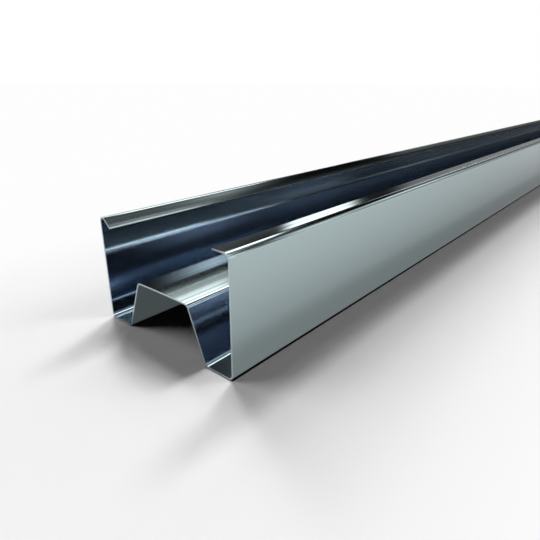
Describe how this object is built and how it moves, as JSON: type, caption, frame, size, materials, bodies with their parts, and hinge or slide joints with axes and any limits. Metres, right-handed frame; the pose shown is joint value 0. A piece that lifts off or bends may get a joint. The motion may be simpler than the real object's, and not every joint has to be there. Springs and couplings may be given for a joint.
{
  "type": "steel stud",
  "caption": "Thin galvanised steel channel stud for a partition wall, with a trapezoid rib along its web, a square lip on the higher flange and a folded lip on the lower.",
  "frame": {"origin": "on the plane of the two feet, halfway along the stud and across its web", "axes": "+X along the stud, +Z from the web towards the open side, +Y towards the flange with the folded lip"},
  "size_m": [2.5, 0.0738, 0.0468],
  "materials": {
    "galvanised_sheet": "smooth bright galvanised sheet, with faint rolling lines along its length"
  },
  "bodies": {
    "root": {"stud": "galvanised_sheet"}
  },
  "joints": []
}
